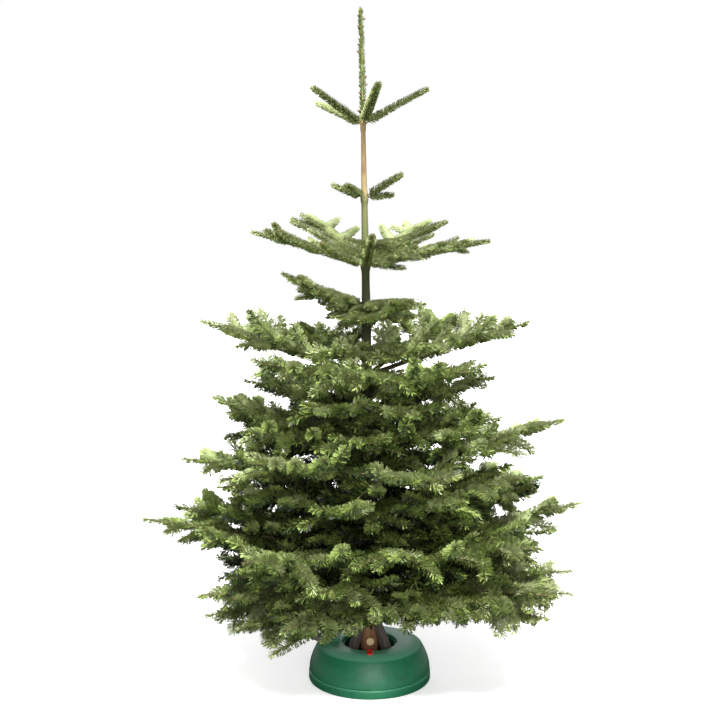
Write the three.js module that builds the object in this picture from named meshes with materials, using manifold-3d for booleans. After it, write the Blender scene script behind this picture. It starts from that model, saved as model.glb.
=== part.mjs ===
// A cut fir tree about two metres tall, held in a round plastic clamp stand.
// Millimetres, +Z up. The origin is the centre of the stand's flat underside.
// +X is the tree's right, -Y its front. Azimuths turn from +X towards +Y.
import * as THREE from "three";
import { mergeVertices } from "three/addons/utils/BufferGeometryUtils.js";
import Module from "manifold-3d";

const wasm = await Module();
wasm.setup();

// ---------------------------------------------------------------- driving dimensions

const seatGap = 0.3; // the running gap kept between any two pieces that touch

const trunkSize = {
  cut: 22, // height of the flat cut that stands on the stand's seat
  top: 1926,
  tipRadius: 2.6,
  baseRadius: 26.4,
  taper: 1.06,
  flare: 2.2, // extra radius at the cut, gone a hand's breadth above it
  flareFade: 45,
  lean: -26, // how far the tip stands to the left of the cut
  sides: 18,
};

// Each whorl is a ring of boughs that left the trunk in one year. Those named "between" are
// the weaker growth between two whorls. Each bough is [azimuth, reach, lift]: the way it
// points, how far its tip is from the trunk's axis, and how far the tip stands above the
// bough's foot. A "limb" is bare near the trunk, a "direct" bough bears needles from the trunk
// outwards, and the shoots of a "ring" share one sleeve round the trunk. The arch bows a bough
// up between its ends, as a share of its lift, and the droop hangs its side shoots.
const whorls = [
  {
    name: "top_shoots", height: 1602, kind: "ring", arch: 0.1, thickness: 3.6,
    boughs: [[208, 167, 92], [142, 178, 82], [286, 150, 92], [358, 192, 104]],
  },
  {
    name: "upper_shoots", height: 1397, kind: "ring", arch: 0, thickness: 3.2,
    boughs: [[186, 100, 38], [236, 92, 30], [348, 116, 66], [12, 92, 10]],
  },
  {
    name: "tier1", height: 1204, kind: "direct", arch: 0.25, thickness: 6.5, droop: 0.02,
    boughs: [[184, 334, 96], [274, 280, 70], [352, 362, 68], [52, 340, 150], [126, 320, 168]],
  },
  {
    name: "between1", height: 1089, kind: "direct", arch: -0.2, thickness: 5.5, droop: 0.05,
    boughs: [[183, 250, 96], [300, 240, 14]],
  },
  {
    name: "tier2", height: 887, kind: "limb", arch: 0.1, thickness: 8, droop: 0.02,
    boughs: [[181, 490, 160], [358, 472, 158], [50, 430, 176], [122, 425, 140]],
  },
  {
    name: "tier2_front", height: 880, kind: "direct", arch: 0.1, thickness: 8, droop: 0.02,
    boughs: [[224, 410, 62], [270, 385, 34], [318, 395, 38]],
  },
  {
    name: "between2", height: 792, kind: "direct", arch: 0, thickness: 6, droop: 0.05,
    boughs: [[170, 372, 80], [8, 392, 88], [243, 350, 26], [297, 340, 14]],
  },
  {
    name: "tier3", height: 589, kind: "limb", arch: 0, thickness: 8.6, droop: 0.06,
    boughs: [
      [190, 540, 70], [232, 500, 110], [288, 490, 80], [356, 568, 180], [62, 520, 180],
      [146, 545, 205],
    ],
  },
  {
    name: "tier4", height: 366, kind: "direct", arch: 0, thickness: 9.5, droop: 0.12,
    boughs: [
      [184, 655, 118], [234, 560, 96], [278, 500, 120], [322, 560, 100], [2, 636, 142],
      [38, 620, 186], [128, 600, 150],
    ],
  },
  {
    name: "tier5", height: 273, kind: "direct", arch: 0.2, thickness: 9, droop: 0.2,
    boughs: [
      [206, 520, 30], [240, 440, -20], [274, 400, 20], [330, 590, 60], [24, 560, 60],
      [92, 480, 40], [156, 540, 20],
    ],
  },
];

const wood = {
  slender: 0.62, // a bough's radius at the trunk is its whorl's thickness times this,
  perReach: 1 / 1400, // plus this for each millimetre of reach
  taper: 0.72, // share of that radius lost on the way to the tip
  sway: 0.12, // sideways bend at the tip, as a share of the reach
  bare: 0.3, // share of the reach that is a bare limb before the needles start
  overlap: 0.05, // share of the reach by which a stem runs into its last shoot
};

// The bark sleeve that carries the shoots of a ring, round the trunk.
const sleeve = { wall: 2.6, tall: 16, sides: 9 };

const spray = {
  angle: 52, // between a side shoot and the axis it grows from
  angleSpread: 14,
  ratio: 0.66, // side shoot's length over what is left of the axis beyond it
  longer: 22, // added to that length
  vigour: [0.86, 1.14],
  shortest: 48,
  pairs: [[600, 4], [300, 3], [0, 2]], // pairs of side shoots on a bough of at least this reach
  teeth: [[260, 3], [110, 2], [0, 1]], // pairs of teeth on a blade of at least this length
  jitter: 0.05, // how far a side shoot may shift along its bough, as a share of the reach
  tilt: 0.12, // how much side shoots rise or fall at random
  tipShoot: 0.34, // share of the axis taken by the last year's shoot
  needle: 17, // half the width of a single needle-clad shoot
  fan: 0.22, // extra half-width of a long side shoot, which stands for a small fan
  thickness: 22, // of a single shoot, needles and all
  swell: 0.12, // extra thickness of a long side shoot
  fanFrom: 90, // length beyond which a side shoot counts as long
  roll: 60, // how far a blade may turn about its own axis
  coat: 8, // thickness of the needles round the axis of a bough
  coatGrowth: 3, // the coat is whole after one part in this many of the stem
  rise: 0.4, // middle of the random tilt, under a half, so that most shoots rise a little
  shade: 0.45, // vigour of a shoot at the trunk, where there is little light,
  light: 1.3, // and how fast it grows with the share of the reach, up to full vigour
  rootShare: 0.42, // half the width of a blade's stalk, over the radius of the stem there
  guard: 0.8, // clearance that each blade keeps from other pieces
};

// A blade's shape, as shares of its length, half-width and thickness.
const bladeShape = {
  body: 0.86, // length of the core, before the pointed end
  core: 0.36, // how wide the core is between the teeth
  narrowing: 0.55, // how much of its width the core loses on the way
  thinning: 0.5, // and of its thickness
  stalk: 0.8, // depth of the stalk, over its width
  toothFoot: 0.6, // where a tooth stands between its two stations
  sweep: 1.35, // how far forward a tooth points, in stations
  shortSweep: 0.7, // the most it may point forward on a blade of one pair of teeth
  swell: [0.24, 0.62, 0.88], // the teeth's width follows a sine, from, over and at most to these
};
const forSize = (steps, size) => steps.find(([from]) => size >= from)[1];

const stand = {
  baseRadius: 178,
  flangeHeight: 24,
  floor: 5,
  shoulderRadius: 154,
  shoulderHeight: 101,
  crestRadius: 118,
  crestHeight: 108,
  mouthRadius: 78.5,
  mouthHeight: 104,
  wall: 4,
  wellRadius: 74.5,
  wellWall: 3.4,
  seatRadius: 34,
  segments: 30,
};

const jaw = {
  azimuths: [322, 218, 128, 52],
  back: 72.5, // radius of its flat back, which stands against the well's wall
  foot: 40, // height of its lower end in the well
  bend: 96,
  top: 170,
  footWidth: 27,
  topWidth: 19,
  depth: 13,
  tipDepth: 12,
  web: 5, // thickness of the back of the channel
  cheek: 4, // thickness of the channel's sides
};

const lever = {
  azimuth: 180,
  pivot: 104, // distance of its inner end from the stand's axis
  pivotHeight: 97,
  slope: 23,
  length: 122,
  depth: 25,
  width: 22,
  padLength: 44,
  padWidth: 46,
  housing: 20, // how far the housing stands above the mouth
};

const gauge = { width: 15, reach: 38, thickness: 9 };

// The sawn stump of a low bough, on the front of the trunk.
const stub = { azimuth: 274, height: 113, radius: 12.5, length: 5 };

// ---------------------------------------------------------------- materials

const finish = (color, roughness) => new THREE.MeshStandardMaterial({ color, roughness, metalness: 0 });
const barkFinish = finish("#6d4f35", 0.85);
const needleFinish = finish("#5c7340", 0.6);
const greenPlastic = finish("#2f7454", 0.42);
const darkPlastic = finish("#3d3036", 0.5);
const redPlastic = finish("#d81018", 0.4);

// ---------------------------------------------------------------- small helpers

const radians = THREE.MathUtils.degToRad;
const up = new THREE.Vector3(0, 0, 1);

// The same small generator is used for every bough, so a tree always grows the same way.
function seeded(seed) {
  let state = seed >>> 0;
  return () => {
    state = (Math.imul(state, 1664525) + 1013904223) >>> 0;
    return state / 4294967296;
  };
}

const heading = (azimuth) => new THREE.Vector3(Math.cos(radians(azimuth)), Math.sin(radians(azimuth)), 0);

function toSolid(geometry) {
  const bare = geometry.clone();
  bare.deleteAttribute("normal");
  bare.deleteAttribute("uv");
  const merged = mergeVertices(bare, 1e-4);
  const mesh = new wasm.Mesh({
    numProp: 3,
    vertProperties: new Float32Array(merged.attributes.position.array),
    triVerts: new Uint32Array(merged.index.array),
  });
  return new wasm.Manifold(mesh);
}

function toGeometry(solid) {
  const mesh = solid.getMesh();
  const geometry = new THREE.BufferGeometry();
  geometry.setAttribute("position", new THREE.BufferAttribute(new Float32Array(mesh.vertProperties), 3));
  geometry.setIndex(new THREE.BufferAttribute(new Uint32Array(mesh.triVerts), 1));
  geometry.computeVertexNormals();
  return geometry;
}

const largestBody = (solid) => solid.decompose().sort((a, b) => b.volume() - a.volume())[0];

// A tapering limb along a curve, from a cylinder whose rings are moved onto the curve.
function limb(pointAt, radiusAt, sides, steps) {
  const geometry = new THREE.CylinderGeometry(1, 1, 1, sides, steps);
  const places = geometry.attributes.position;
  const ahead = 0.01;
  for (let i = 0; i < places.count; i += 1) {
    const ring = new THREE.Vector3().fromBufferAttribute(places, i);
    const share = ring.y + 0.5;
    const centre = pointAt(share);
    const tangent = pointAt(share + ahead).sub(pointAt(share - ahead)).normalize();
    const across = new THREE.Vector3().crossVectors(tangent, Math.abs(tangent.z) > 0.9 ? heading(0) : up);
    across.normalize();
    const over = new THREE.Vector3().crossVectors(across, tangent);
    const radius = radiusAt(share);
    centre.addScaledVector(across, ring.x * radius).addScaledVector(over, ring.z * radius);
    places.setXYZ(i, centre.x, centre.y, centre.z);
  }
  return geometry;
}

// ---------------------------------------------------------------- trunk

const trunkAxis = (height) =>
  new THREE.Vector3(trunkSize.lean * Math.pow(Math.max(height, 0) / trunkSize.top, 1.6), 0, height);

function trunkRadius(height) {
  const left = Math.max(0, 1 - height / trunkSize.top);
  const wood = (trunkSize.baseRadius - trunkSize.tipRadius) * Math.pow(left, trunkSize.taper);
  const flare = trunkSize.flare * Math.exp(-(height - trunkSize.cut) / trunkSize.flareFade);
  return trunkSize.tipRadius + wood + flare;
}

function trunkSolid() {
  const span = trunkSize.top - trunkSize.cut;
  // The rings stand closer together low down, where the flare is.
  const heightAt = (share) => trunkSize.cut + span * Math.pow(Math.max(share, 0), 1.6);
  const stem = limb((s) => trunkAxis(heightAt(s)), (s) => trunkRadius(heightAt(s)), trunkSize.sides, 10);
  const way = heading(stub.azimuth);
  const from = trunkAxis(stub.height);
  const reach = trunkRadius(stub.height) + stub.length;
  const knot = limb((s) => from.clone().addScaledVector(way, reach * s), () => stub.radius, 10, 1);
  return toSolid(stem).add(toSolid(knot));
}

// ---------------------------------------------------------------- boughs and sprays

// The line that a bough follows, as a function of the share of its reach.
function boughLine(whorl, [azimuth, reach, lift], bend) {
  const foot = trunkAxis(whorl.height);
  const out = heading(azimuth);
  const side = heading(azimuth + 90);
  return (share) => {
    const rise = lift * (share + whorl.arch * (share - share * share));
    return foot
      .clone()
      .addScaledVector(out, reach * share)
      .addScaledVector(side, bend * reach * share * share)
      .addScaledVector(up, rise);
  };
}

// A toothed blade: a flat core with pointed teeth at its sides, in the plane of "along" and
// "across". Its root is a thin stalk, so that it sinks well into the stem.
function blade({ start, along, length, root, roll }, halfWidth, thickness, teeth, grow) {
  const across = new THREE.Vector3().crossVectors(up, along).normalize().applyAxisAngle(along, roll);
  const over = new THREE.Vector3().crossVectors(along, across);
  const points = [];
  const put = (x, y, z) => {
    points.push(start.clone().addScaledVector(along, x).addScaledVector(across, y).addScaledVector(over, z));
    return points.length - 1;
  };
  const faces = [];
  const quad = (a, b, c, d) => faces.push(a, b, c, a, c, d);
  const half = thickness / 2 + grow;
  const stations = [];
  for (let i = 0; i <= teeth; i += 1) {
    const share = i / teeth;
    const x = length * bladeShape.body * share - grow;
    const between = (halfWidth * bladeShape.core + grow) * (1 - bladeShape.narrowing * share);
    const core = i === 0 ? root + grow : between;
    const deep = i === 0 ? root * bladeShape.stalk + grow : half * (1 - bladeShape.thinning * share);
    const ring = [[core, deep], [-core, deep], [-core, -deep], [core, -deep]];
    stations.push({ x, corner: ring.map(([y, z]) => put(x, y, z)) });
  }
  const first = stations[0].corner;
  quad(first[0], first[3], first[2], first[1]);
  for (let i = 0; i < teeth; i += 1) {
    const [leftTop, rightTop, rightLow, leftLow] = stations[i].corner;
    const [nextLeftTop, nextRightTop, nextRightLow, nextLeftLow] = stations[i + 1].corner;
    quad(leftTop, rightTop, nextRightTop, nextLeftTop);
    quad(leftLow, nextLeftLow, nextRightLow, rightLow);
    const share = (i + bladeShape.toothFoot) / teeth;
    const [from, over, most] = bladeShape.swell;
    const wide = halfWidth * Math.sin(Math.PI * Math.min(most, from + over * share)) + grow;
    const sweep = Math.min(bladeShape.sweep, bladeShape.shortSweep * teeth);
    const toothX = stations[i].x + (stations[i + 1].x - stations[i].x) * sweep;
    const left = put(toothX, wide, 0);
    const right = put(toothX, -wide, 0);
    faces.push(leftTop, nextLeftTop, left, leftLow, left, nextLeftLow);
    faces.push(leftTop, left, leftLow, nextLeftTop, nextLeftLow, left);
    faces.push(rightTop, right, nextRightTop, rightLow, nextRightLow, right);
    faces.push(rightTop, rightLow, right, nextRightTop, right, nextRightLow);
  }
  const [lastLeftTop, lastRightTop, lastRightLow, lastLeftLow] = stations[teeth].corner;
  const tip = put(length + grow, 0, 0);
  faces.push(lastLeftTop, lastRightTop, tip, lastRightTop, lastRightLow, tip);
  faces.push(lastRightLow, lastLeftLow, tip, lastLeftLow, lastLeftTop, tip);
  const geometry = new THREE.BufferGeometry();
  geometry.setAttribute("position", new THREE.Float32BufferAttribute(points.flatMap((p) => p.toArray()), 3));
  geometry.setIndex(faces);
  return toSolid(geometry);
}

// The side shoots of a bough, from its tip inwards: where each starts, its way and its length.
function sideShoots({ line, reach, first: firstShare, radiusAt, draw, whorl: { droop } }) {
  const shoots = [];
  const pairs = forSize(spray.pairs, reach);
  const gap = (1 - spray.tipShoot - firstShare - spray.jitter / 2) / (pairs - 0.5);
  const [weak, strong] = spray.vigour;
  for (let pair = 0; pair < pairs; pair += 1) {
    for (const side of [1, -1]) {
      const at = 1 - spray.tipShoot - pair * gap + (draw() - 0.5) * spray.jitter;
      const turn = radians(spray.angle + (draw() - 0.5) * spray.angleSpread) * side;
      const vigour = weak + (strong - weak) * draw();
      const light = Math.min(1, spray.shade + spray.light * at);
      const full = reach * (1 - at) * spray.ratio * light * vigour + spray.longer;
      const length = Math.max(spray.shortest, full);
      const start = line(at);
      const axis = line(at + 0.01).sub(line(at - 0.01)).normalize();
      const flat = new THREE.Vector3().crossVectors(up, axis).normalize();
      const along = axis.clone().multiplyScalar(Math.cos(turn)).addScaledVector(flat, Math.sin(turn));
      along.z += spray.tilt * (draw() - spray.rise) - droop;
      along.normalize();
      const roll = radians(spray.roll) * (draw() - 0.5);
      shoots.push({ start, along, length, root: radiusAt(at) * spray.rootShare, roll });
    }
  }
  return shoots;
}

function bladeFor(shoot, grow) {
  const extra = Math.max(0, shoot.length - spray.fanFrom);
  const halfWidth = spray.needle + spray.fan * extra;
  const thickness = spray.thickness + spray.swell * extra;
  return blade(shoot, halfWidth, thickness, forSize(spray.teeth, shoot.length), grow);
}

// ---------------------------------------------------------------- the plant

const placed = []; // every solid so far, with the node it belongs to and its box
function place(node, solid) {
  placed.push({ node, solid, box: solid.boundingBox() });
}
const apart = (a, b) => [0, 1, 2].some((i) => a.min[i] > b.max[i] || a.max[i] < b.min[i]);
function isClear(node, guard) {
  const box = guard.boundingBox();
  return placed.every((p) => p.node === node || apart(p.box, box) || p.solid.intersect(guard).isEmpty());
}

const group = new THREE.Group();
function addNode(name, geometry, material) {
  const mesh = new THREE.Mesh(geometry, material);
  mesh.name = name;
  group.add(mesh);
  return mesh;
}

const boughRadius = (whorl, reach, share) =>
  whorl.thickness * (wood.slender + wood.perReach * reach) * (1 - wood.taper * share);

// The trunk and the bare boughs, and for each mass of needles what it needs to grow.
function plantTree() {
  const trunk = trunkSolid();
  place("trunk", trunk);
  addNode("trunk", toGeometry(trunk), barkFinish);
  const masses = [];
  whorls.forEach((whorl, w) => {
    whorl.boughs.forEach((bough, b) => {
      const [, reach, lift] = bough;
      const draw = seeded(1000 * (w + 1) + 37 * (b + 1));
      const bend = (draw() - 0.5) * wood.sway;
      const line = boughLine(whorl, bough, bend);
      const radiusAt = (share) => boughRadius(whorl, reach, share);
      const slope = Math.abs(lift / Math.hypot(reach, lift));
      const step = whorl.kind === "ring" ? sleeve.wall * 0.6 : radiusAt(0) * slope;
      const foot = (trunkRadius(whorl.height) + seatGap + step) / reach;
      let first = foot;
      const label = `${whorl.name}_${b + 1}`;
      if (whorl.kind === "limb") {
        first = wood.bare;
        const part = (s) => foot + (first - foot) * s;
        const solid = toSolid(limb((s) => line(part(s)), (s) => radiusAt(part(s)), 8, 3));
        place(`bough_${label}`, solid);
        addNode(`bough_${label}`, toGeometry(solid), barkFinish);
        first += (seatGap + 0.1) / Math.hypot(reach, lift);
      }
      const node = whorl.kind === "ring" ? whorl.name : `needles_${label}`;
      masses.push({ node, whorl, line, reach, first, radiusAt, draw, parts: [] });
    });
  });
  return masses;
}

// Every mass gets its stem first, then one shoot each in turn, from the tip inwards, so that no
// mass takes another's room. A shoot that would touch another piece is left out.
function growMasses(masses) {
  for (const mass of masses.filter((m) => m.whorl.kind !== "ring")) {
    const last = 1 - spray.tipShoot + wood.overlap;
    const part = (s) => mass.first + (last - mass.first) * s;
    const coat = (s) => mass.radiusAt(part(s)) + spray.coat * Math.min(1, spray.coatGrowth * s);
    const stem = toSolid(limb((s) => mass.line(part(s)), coat, 3, 3));
    mass.parts.push(stem);
    place(mass.node, stem);
  }
  for (const mass of masses) {
    const single = mass.whorl.kind === "ring";
    mass.shoots = [tipShoot(mass, single ? mass.first : 1 - spray.tipShoot)];
    if (!single) mass.shoots.push(...sideShoots(mass));
  }
  const rounds = Math.max(...masses.map((m) => m.shoots.length));
  for (let i = 0; i < rounds; i += 1) {
    for (const mass of masses.filter((m) => i < m.shoots.length)) {
      if (!isClear(mass.node, bladeFor(mass.shoots[i], spray.guard))) continue;
      const solid = bladeFor(mass.shoots[i], 0);
      mass.parts.push(solid);
      place(mass.node, solid);
    }
  }
}

// The shoot at a bough's end, from the given share of the bough to its tip.
function tipShoot({ line, radiusAt }, share) {
  const start = line(share);
  const end = line(1);
  const along = end.clone().sub(start).normalize();
  return { start, along, length: end.distanceTo(start), root: radiusAt(share) * spray.rootShare, roll: 0 };
}

// The sleeve is cut clear of the trunk, and its flat sides lie outside the trunk's round.
function sleeveSolid(whorl) {
  const { wall, tall, sides } = sleeve;
  const at = (s, extra) => trunkAxis(whorl.height - tall / 2 - extra + (tall + 2 * extra) * s);
  const bore = (trunkRadius(whorl.height - tall) + seatGap) / Math.cos(Math.PI / sides);
  const outer = toSolid(limb((s) => at(s, 0), () => bore + wall, sides, 1));
  return outer.subtract(toSolid(limb((s) => at(s, 4), () => bore, sides, 1)));
}

const masses = plantTree();
growMasses(masses);
for (const whorl of whorls.filter((w) => w.kind === "ring")) {
  const parts = masses.filter((m) => m.node === whorl.name).flatMap((m) => m.parts);
  const joined = [sleeveSolid(whorl), ...parts].reduce((a, b) => a.add(b));
  addNode(whorl.name, toGeometry(largestBody(joined)), needleFinish);
}
for (const mass of masses.filter((m) => m.whorl.kind !== "ring")) {
  const joined = mass.parts.reduce((a, b) => a.add(b));
  addNode(mass.node, toGeometry(largestBody(joined)), needleFinish);
}

// ---------------------------------------------------------------- the stand

const lathe = (path, divisions) => {
  const geometry = new THREE.LatheGeometry(path.getPoints(divisions), stand.segments);
  return geometry.rotateX(Math.PI / 2);
};

const boxAt = (size, centre) => new THREE.BoxGeometry(...size).translate(...centre);

// A side profile in the plane of the radius and the height, given a width across it and
// turned to its azimuth. widthAt gives the width at each height.
function radialProfile(points, widthAt, azimuth) {
  const shape = new THREE.Shape(points.map(([r, z]) => new THREE.Vector2(r, z)));
  const geometry = new THREE.ExtrudeGeometry(shape, { depth: 1, bevelEnabled: false });
  geometry.translate(0, 0, -0.5).rotateX(Math.PI / 2);
  const places = geometry.attributes.position;
  for (let i = 0; i < places.count; i += 1) places.setY(i, places.getY(i) * widthAt(places.getZ(i)));
  return toSolid(geometry.rotateZ(radians(azimuth)));
}

// Bottom plate with its upright flange, on which the whole stand rests.
function traySolid() {
  const s = stand;
  const path = new THREE.Path();
  path.moveTo(0, 0);
  path.lineTo(s.baseRadius - 5, 0);
  path.quadraticCurveTo(s.baseRadius, 0, s.baseRadius, 5);
  path.lineTo(s.baseRadius, s.flangeHeight - 4);
  path.lineTo(s.baseRadius - 3, s.flangeHeight);
  path.lineTo(s.baseRadius - 10, s.flangeHeight);
  path.lineTo(s.baseRadius - 12, s.floor);
  path.lineTo(0, s.floor);
  return toSolid(lathe(path, 2));
}

// The round water well, with the raised seat that the trunk's cut stands on.
function wellSolid() {
  const s = stand;
  const out = s.wellRadius + s.wellWall;
  const low = s.floor + seatGap;
  const path = new THREE.Path();
  path.moveTo(0, low);
  path.lineTo(out, low);
  path.lineTo(out, s.mouthHeight - 6);
  path.lineTo(s.wellRadius, s.mouthHeight - 6);
  path.lineTo(s.wellRadius, low + 4);
  path.lineTo(s.seatRadius + 5, low + 4);
  path.lineTo(s.seatRadius, trunkSize.cut - seatGap);
  path.lineTo(0, trunkSize.cut - seatGap);
  return toSolid(lathe(path, 2));
}

// The domed cover: side wall, rounded shoulder, top with a shallow dish, and the mouth's lip.
function coverShell() {
  const s = stand;
  const low = s.flangeHeight + seatGap;
  const path = new THREE.Path();
  path.moveTo(s.baseRadius - 4.5, low);
  path.lineTo(s.baseRadius - 1.5, low + 4);
  path.bezierCurveTo(
    s.baseRadius - 1, low + 30, s.shoulderRadius + 9, s.shoulderHeight - 18,
    s.shoulderRadius, s.shoulderHeight - 4,
  );
  path.quadraticCurveTo(s.shoulderRadius - 3, s.shoulderHeight, s.shoulderRadius - 9, s.shoulderHeight + 1);
  path.lineTo(s.crestRadius, s.crestHeight);
  path.lineTo(s.mouthRadius + 8, s.mouthHeight + 2.5);
  path.lineTo(s.mouthRadius, s.mouthHeight);
  path.lineTo(s.mouthRadius, s.mouthHeight - 14);
  path.lineTo(s.mouthRadius + 3, s.mouthHeight - 14);
  path.lineTo(s.mouthRadius + 3, s.mouthHeight - s.wall);
  path.lineTo(s.crestRadius, s.crestHeight - s.wall);
  path.lineTo(s.shoulderRadius - 10, s.shoulderHeight - s.wall);
  path.bezierCurveTo(
    s.shoulderRadius + 2, s.shoulderHeight - 20, s.baseRadius - 6, low + 30,
    s.baseRadius - 6.5, low + 3,
  );
  path.lineTo(s.baseRadius - 8.5, low);
  path.closePath();
  return toSolid(lathe(path, 3));
}

// The plan of the water gauge: a strip with its outer corners rounded.
function gaugePlan(grow) {
  const half = gauge.width / 2 + grow;
  const far = gauge.reach + grow;
  const round = 4;
  const shape = new THREE.Shape();
  shape.moveTo(half, grow);
  shape.lineTo(half, -far + round);
  shape.quadraticCurveTo(half, -far, half - round, -far);
  shape.lineTo(-half + round, -far);
  shape.quadraticCurveTo(-half, -far, -half, -far + round);
  shape.lineTo(-half, grow);
  return shape;
}

function gaugeSolid(grow, depth, base) {
  const options = { depth, bevelEnabled: false, curveSegments: 3 };
  const geometry = new THREE.ExtrudeGeometry(gaugePlan(grow), options);
  return toSolid(geometry.translate(0, -(stand.mouthRadius + 4), base));
}

// A point of the lever in the plane of radius and height, "x" along its arm and "z" across it.
function leverPoint(x, z) {
  const slope = radians(lever.slope);
  return [
    lever.pivot + x * Math.cos(slope) - z * Math.sin(slope),
    lever.pivotHeight + x * Math.sin(slope) + z * Math.cos(slope),
  ];
}

// The cover with the lever's housing on its left, the lever's slot and the gauge's slot.
function coverSolid() {
  const s = stand;
  const inner = s.mouthRadius + 8;
  const outer = s.shoulderRadius - 12;
  const top = s.mouthHeight + lever.housing;
  const low = s.mouthHeight - 3;
  const size = [outer - inner, lever.width + 14, top - low];
  const block = boxAt(size, [-(inner + outer) / 2, 0, (top + low) / 2]);
  const deep = lever.depth / 2;
  const corners = [[-6, -deep - 7], [lever.length, -deep - 7], [lever.length, deep + 1], [-6, deep + 1]];
  const slotWidth = lever.width + 2 * seatGap;
  const slot = radialProfile(corners.map(([x, z]) => leverPoint(x, z)), () => slotWidth, lever.azimuth);
  const cover = coverShell().add(toSolid(block)).subtract(slot);
  return cover.subtract(gaugeSolid(seatGap, 40, s.mouthHeight - 20));
}

// One clamp jaw: a claw that stands in the well and leans in to bite the trunk.
function jawSolid(azimuth) {
  const lean = trunkAxis(jaw.top).dot(heading(azimuth));
  const bite = trunkRadius(jaw.top - 12) + lean + seatGap;
  const back = jaw.back;
  const share = (z) => Math.min(1, Math.max(0, (z - jaw.bend) / (jaw.top - jaw.bend)));
  const widthAt = (z) => jaw.footWidth + (jaw.topWidth - jaw.footWidth) * share(z);
  const claw = [
    [back, jaw.foot], [back, jaw.bend], [bite + jaw.tipDepth, jaw.top], [bite, jaw.top], [bite, jaw.top - 12],
    [back - 22, jaw.bend], [back - jaw.depth, jaw.foot],
  ];
  const channel = [
    [0, jaw.foot + 6], [back - jaw.web, jaw.foot + 6], [back - jaw.web, jaw.bend],
    [bite + jaw.tipDepth + 5, jaw.top - 18], [0, jaw.top - 18],
  ];
  const hollow = radialProfile(channel, (z) => widthAt(z) - 2 * jaw.cheek, azimuth);
  return radialProfile(claw, widthAt, azimuth).subtract(hollow);
}

// The foot lever: an arm that leaves its slot and rises outwards, with a tread on its end.
function leverSolid() {
  const half = lever.depth / 2;
  const arm = [
    leverPoint(0, -half), leverPoint(lever.length, -half * 0.55),
    leverPoint(lever.length, half * 0.55), leverPoint(0, half),
  ];
  const bar = radialProfile(arm, () => lever.width, lever.azimuth);
  const from = lever.length - lever.padLength;
  const high = half * 0.7;
  const tread = [
    leverPoint(from, high - 5), leverPoint(lever.length + 4, high - 6),
    leverPoint(lever.length + 6, high + 1), leverPoint(from, high + 2),
  ];
  return bar.add(radialProfile(tread, () => lever.padWidth, lever.azimuth));
}

const solids = [
  ["stand_tray", traySolid(), greenPlastic],
  ["stand_well", wellSolid(), greenPlastic],
  ["stand_cover", coverSolid(), greenPlastic],
  ["stand_lever", leverSolid(), darkPlastic],
  ["stand_gauge", gaugeSolid(0, gauge.thickness, stand.mouthHeight - 3.2), redPlastic],
  ...jaw.azimuths.map((azimuth, i) => [`stand_jaw_${i + 1}`, jawSolid(azimuth), darkPlastic]),
];
for (const [name, solid, material] of solids) addNode(name, toGeometry(solid), material);

export default group;
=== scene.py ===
import math

import bmesh
import bpy
import numpy as np
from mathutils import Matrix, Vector, noise


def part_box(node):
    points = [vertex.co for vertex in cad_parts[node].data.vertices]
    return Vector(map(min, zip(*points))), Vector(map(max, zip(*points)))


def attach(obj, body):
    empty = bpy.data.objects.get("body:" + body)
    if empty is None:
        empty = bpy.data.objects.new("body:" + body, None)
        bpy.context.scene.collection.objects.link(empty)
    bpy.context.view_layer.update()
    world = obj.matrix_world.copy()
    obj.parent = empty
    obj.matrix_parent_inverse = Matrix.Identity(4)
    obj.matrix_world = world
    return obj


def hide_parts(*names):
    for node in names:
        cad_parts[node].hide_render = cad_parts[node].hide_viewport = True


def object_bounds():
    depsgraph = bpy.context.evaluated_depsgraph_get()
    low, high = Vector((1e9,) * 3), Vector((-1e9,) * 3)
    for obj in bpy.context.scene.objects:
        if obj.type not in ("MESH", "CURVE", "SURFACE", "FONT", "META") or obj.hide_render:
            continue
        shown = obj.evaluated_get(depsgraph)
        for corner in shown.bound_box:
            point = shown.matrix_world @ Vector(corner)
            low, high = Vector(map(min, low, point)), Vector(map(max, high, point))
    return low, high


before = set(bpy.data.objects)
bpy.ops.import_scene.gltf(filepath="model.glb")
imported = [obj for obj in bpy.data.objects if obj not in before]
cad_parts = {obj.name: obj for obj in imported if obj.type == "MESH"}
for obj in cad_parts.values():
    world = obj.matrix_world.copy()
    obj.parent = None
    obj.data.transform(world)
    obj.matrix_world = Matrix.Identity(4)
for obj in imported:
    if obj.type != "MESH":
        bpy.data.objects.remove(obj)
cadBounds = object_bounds()
mm = 0.001
up = np.array([0.0, 0.0, 1.0])


def report(text):
    print("fir:", text, flush=True)


def srgb(code):
    # hex as picked on screen, to the linear colour that the shader mixes in
    parts = [int(code[i:i + 2], 16) / 255 for i in (1, 3, 5)]
    return [c / 12.92 if c <= 0.04045 else ((c + 0.055) / 1.055) ** 2.4 for c in parts] + [1.0]


def setInputs(material, node, inputs):
    # values go on the sockets; another node's output is linked, its first live one unless it's given
    for name, value in inputs.items():
        if isinstance(value, bpy.types.Node):
            value = next(output for output in value.outputs if output.enabled)
        if isinstance(value, bpy.types.NodeSocket):
            material.node_tree.links.new(value, node.inputs[name])
        else:
            node.inputs[name].default_value = value


def addNode(material, kind, inputs=None, steps=None, **settings):
    # steps are a ramp's hex colours at their places
    made = material.node_tree.nodes.new("ShaderNode" + kind)
    for name, value in settings.items():
        setattr(made, name, value)
    setInputs(material, made, inputs or {})
    if steps:
        ramp = made.color_ramp
        while len(ramp.elements) < len(steps):
            ramp.elements.new(0.5)
        for element, (place, code) in zip(ramp.elements, steps):
            element.position = place
            element.color = srgb(code)
    return made


def emptyNodes(owner):
    owner.use_nodes = True
    owner.node_tree.nodes.clear()
    return owner


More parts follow.
